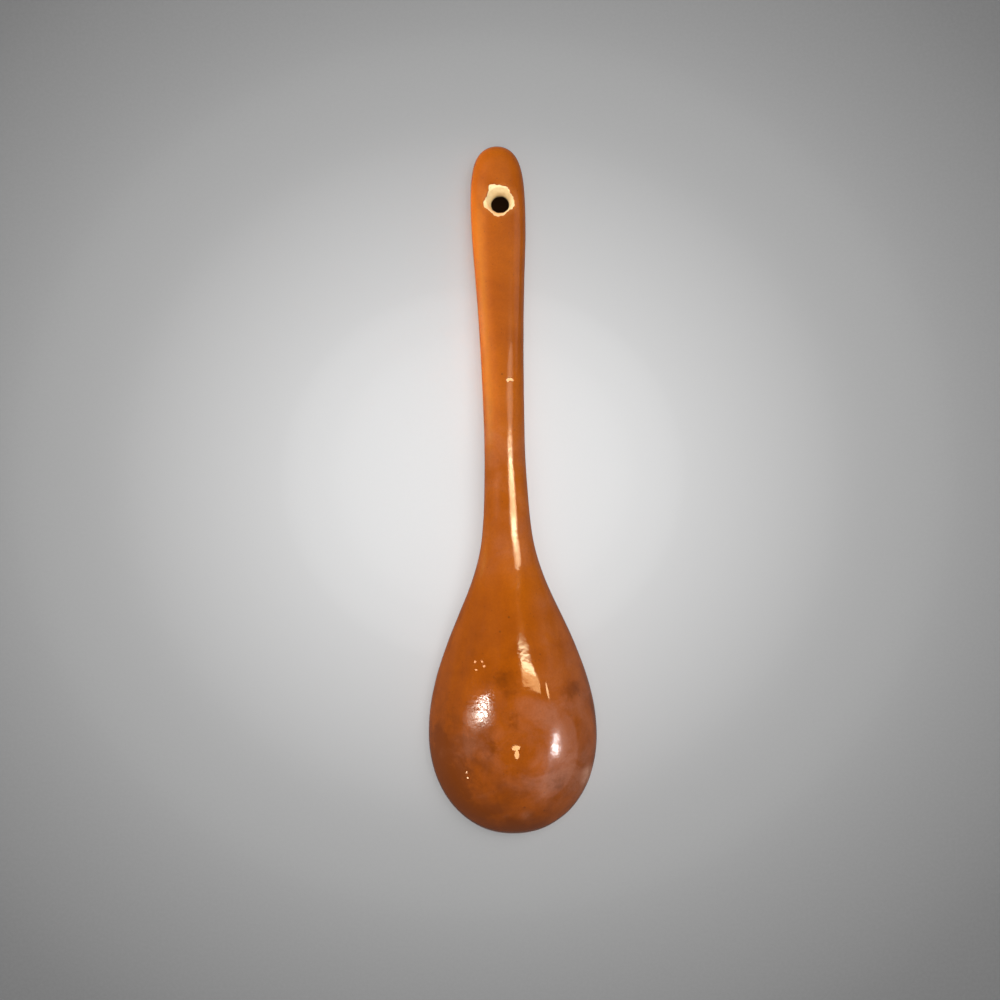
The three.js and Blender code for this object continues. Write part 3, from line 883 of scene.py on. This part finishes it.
world = bpy.data.worlds.new("studio")
world.use_nodes = True
sky = world.node_tree
background = next(n for n in sky.nodes if n.type == "BACKGROUND")
way = sky.nodes.new("ShaderNodeTexCoord")
split = sky.nodes.new("ShaderNodeSeparateXYZ")
fall = sky.nodes.new("ShaderNodeValToRGB")
sky.links.new(way.outputs["Generated"], split.inputs[0])
level = sky.nodes.new("ShaderNodeMapRange")
level.inputs["From Min"].default_value = -1.0
sky.links.new(split.outputs["Z"], level.inputs["Value"])
sky.links.new(level.outputs["Result"], fall.inputs["Fac"])
# the ground seen from the glaze, paler behind and on the right
side = sky.nodes.new("ShaderNodeVectorMath")
side.operation = "DOT_PRODUCT"
side.inputs[1].default_value = (0.35, 0.94, 0.0)
sky.links.new(way.outputs["Generated"], side.inputs[0])
paler = sky.nodes.new("ShaderNodeMapRange")
for key, value in (("From Min", -0.8), ("From Max", 0.5), ("To Min", 0.05), ("To Max", 0.26)):
    paler.inputs[key].default_value = value
sky.links.new(side.outputs["Value"], paler.inputs["Value"])
below = sky.nodes.new("ShaderNodeMapRange")
for key, value in (("From Min", 0.42), ("From Max", 0.52), ("To Min", 1.0), ("To Max", 0.0)):
    below.inputs[key].default_value = value
sky.links.new(level.outputs["Result"], below.inputs["Value"])
ground = sky.nodes.new("ShaderNodeMath")
ground.operation = "MULTIPLY"
sky.links.new(paler.outputs["Result"], ground.inputs[0])
sky.links.new(below.outputs["Result"], ground.inputs[1])
both = sky.nodes.new("ShaderNodeMix")
both.data_type, both.blend_type = "RGBA", "ADD"
both.inputs[0].default_value = 1.0
sky.links.new(fall.outputs["Color"], both.inputs[6])
sky.links.new(ground.outputs[0], both.inputs[7])
sky.links.new(both.outputs[2], background.inputs["Color"])
tones = [(0.0, 0.05), (0.45, 0.06), (0.54, 0.15), (0.65, 0.19), (0.775, 0.11), (0.9, 0.05), (1.0, 0.03)]
while len(fall.color_ramp.elements) < len(tones):
    fall.color_ramp.elements.new(0.5)
for element, (place, grey) in zip(fall.color_ramp.elements, tones):
    element.position, element.color = place, (grey, grey, grey, 1)
bpy.context.scene.world = world

spoon_only = bpy.data.collections.new("lit_spoon")
for piece in (glaze_piece, clay_piece):
    spoon_only.objects.link(piece)
clay_only = bpy.data.collections.new("lit_clay")
clay_only.objects.link(clay_piece)
floor_only = bpy.data.collections.new("lit_floor")
floor_only.objects.link(floor)


no_shade = bpy.data.collections.new("no_shade")
no_shade.objects.link(floor)


def softbox(name, lean_x, lean_y, wide, tall, radiance, colour, shine=True,
            lights=spoon_only, distance=1.2, aim=(0, -0.04, 0.015), reach=None, square=False, roll=0.0):
    """Area light seen from `aim` at two leans from straight up, with its size, all in degrees.

    It is there either for its reflection in the glaze (`shine`) or for its soft light.
    With `reach`, a grid on the lamp keeps its light within that distance of `aim`.
    `roll` turns it about its own axis.
    """
    way = Vector((math.tan(math.radians(lean_x)), math.tan(math.radians(lean_y)), 1)).normalized()
    across = (Vector((1, 0, 0)) - way * way.x).normalized()
    turn = Matrix((across, way.cross(across), way)).transposed() @ Matrix.Rotation(math.radians(roll), 3, "Z")
    size = [2 * distance * math.tan(math.radians(v) / 2) for v in (wide, tall)]
    if not shine:
        square = True
    data = bpy.data.lights.new(name, "AREA")
    data.shape = "RECTANGLE" if square else "ELLIPSE"
    data.size, data.size_y = size
    data.energy = math.pi * size[0] * size[1] * radiance * (1.0 if square else math.pi / 4)
    if reach is not None:
        half = math.atan(reach / distance)
        data.spread = 2 * half
        data.energy *= (math.tan(half) - half) / math.tan(half)
    data.color = colour
    lamp = bpy.data.objects.new(name, data)
    lamp.location = Vector(aim) + way * distance
    lamp.rotation_euler = turn.to_euler()
    lamp.visible_camera = False
    lamp.visible_glossy, lamp.visible_diffuse = shine, not shine
    lamp.light_linking.receiver_collection = lights
    bpy.context.scene.collection.objects.link(lamp)
    return lamp


softbox("window_high", 22.6, 7.9, 15.5, 3.8, 36.0, (1.0, 0.86, 0.52), square=True)
softbox("window_top", 23, 11.0, 9, 2.4, 4.5, (1.0, 0.84, 0.5), square=True)
softbox("window_low", 23.6, 3.9, 21.5, 4.2, 13.0, (1.0, 0.64, 0.28), square=True)
softbox("lamp_left", -31, -4.2, 13, 3.2, 56.0, (1.0, 0.98, 0.94))
for number, (wide, tall) in enumerate(((20, 5.2), (29, 7.2), (39, 9.6), (50, 12.5))):
    softbox(f"lamp_left_halo_{number}", -32.5 - 2.0 * number, -4.3 - 0.9 * number, wide, tall,
            (17.0, 8.0, 3.2, 1.0)[number], (1.0, 0.95, 0.84))
softbox("lamp_left_low", -50, -17, 24, 24, 0.4, (1.0, 0.86, 0.72))
softbox("lamp_right", 48.2, -25.8, 14, 7.0, 44.0, (1.0, 0.98, 0.98), roll=-20)
for number, (wide, tall) in enumerate(((22, 12), (30, 20), (40, 28), (52, 38), (66, 50))):
    softbox(f"lamp_right_halo_{number}", 48 + 1.5 * number, -27 - 2.0 * number, wide, tall,
            (3.0, 0.8, 0.35, 0.2, 0.15)[number], (1.0, 0.9, 0.92))
softbox("wall_right", 66, -56, 56, 46, 0.58, (1.0, 0.88, 0.86))
softbox("lamp_front", 2, -15.9, 6.5, 1.8, 27.0, (1.0, 0.63, 0.28))
softbox("lamp_front_low", 2.7, -18.7, 3.2, 4.0, 25.0, (1.0, 0.63, 0.28))
softbox("small_4", -65.3, -57.0, 2.4, 1.0, 42.0, (1.0, 0.66, 0.38), roll=59)
softbox("small_5", -66.9, -61.9, 2.8, 1.1, 42.0, (1.0, 0.66, 0.38), roll=59)
# lamps close by, which only the place they are aimed at mirrors
for number, (lean_x, lean_y, *spot) in enumerate((
    (-57, 21.1, -0.01216, -0.05779, 0.01668), (-44.2, 15.6, -0.00978, -0.05755, 0.01772),
    (-39.3, 12.6, -0.00914, -0.05901, 0.01822), (-52, 15.5, -0.01189, -0.06041, 0.01736),
)):
    softbox(f"small_{number}", lean_x, lean_y, 5.4, 0.65, 30.0, (1.0, 0.58, 0.29),
            distance=0.15, aim=spot, reach=0.011, roll=-17)
softbox("pane_right", 45, 5.4, 4, 4.5, 26.0, (1.0, 0.7, 0.36),
        distance=0.15, aim=(0.0121, -0.0685, 0.0186), reach=0.0085)
softbox("window_neck", 23, 10.8, 28, 21, 16.0, (1.0, 0.84, 0.52),
        distance=0.03, aim=(0.0028, -0.0198, 0.0137), reach=0.0105)
softbox("window_upper", 26, 13.4, 30, 62, 4.2, (1.0, 0.82, 0.62),
        distance=0.03, aim=(0.0024, 0.0325, 0.0109), reach=0.0134)
softbox("window_waist", 23, 5.5, 27, 40, 10.5, (1.0, 0.86, 0.58), square=True,
        distance=0.05, aim=(0.0018, 0.003, 0.0128), reach=0.0233)
for number, (wide, tall) in enumerate(((40, 20), (56, 26), (74, 32))):
    softbox(f"shine_left_{number}", -66 + 4 * number, 24, wide, tall, (1.2, 0.95, 0.7)[number], (1.0, 0.88, 0.22),
            distance=0.25, aim=(-0.004, 0.062, 0.009))
softbox("shine_right", 52, 20, 44, 20, 1.0, (1.0, 0.9, 0.85), distance=0.25, aim=(0.004, 0.08, 0.009))
softbox("key_left", -40, 24, 40, 40, 5.4, (1.0, 1.0, 1.0), shine=False)
softbox("key_back", 3, 30, 50, 36, 2.9, (1.0, 1.0, 1.0), shine=False)
softbox("key_right", 46, -22, 30, 30, 2.75, (1.0, 1.0, 1.0), shine=False)
softbox("key_front", 38, -50, 34, 34, 2.0, (1.0, 1.0, 1.0), shine=False)
softbox("clay_front", 6, -36, 30, 30, 3.2, (1.0, 1.0, 1.0), shine=False, lights=clay_only)
for number, (lean_x, lean_y) in enumerate(((24, 24), (-24, 24), (-24, -24), (24, -24))):
    lamp = softbox(f"floor_{number}", lean_x, lean_y, 36, 36, 2.3, (1.0, 1.0, 1.0), shine=False,
                   lights=floor_only, aim=(0, 0, 0))
    if number:
        lamp.light_linking.blocker_collection = no_shade

# low warm light along the left of the handle
glow_data = bpy.data.lights.new("handle_glow", "SPOT")
glow_data.energy = 4.0
glow_data.color = (1.0, 0.97, 0.85)
glow_data.spot_size = math.radians(28)
glow_data.spot_blend = 0.7
glow_data.shadow_soft_size = 0.02
glow = bpy.data.objects.new("handle_glow", glow_data)
glow.location = (-0.26, 0.086, 0.012)
glow.rotation_euler = (glow.location - Vector((0, 0.076, 0.007))).to_track_quat("Z", "Y").to_euler()
glow.visible_camera = False
glow.visible_glossy = False
glow.light_linking.receiver_collection = spoon_only
bpy.context.scene.collection.objects.link(glow)

bpy.context.scene.view_settings.view_transform = "Standard"
bpy.context.scene.view_settings.look = "None"
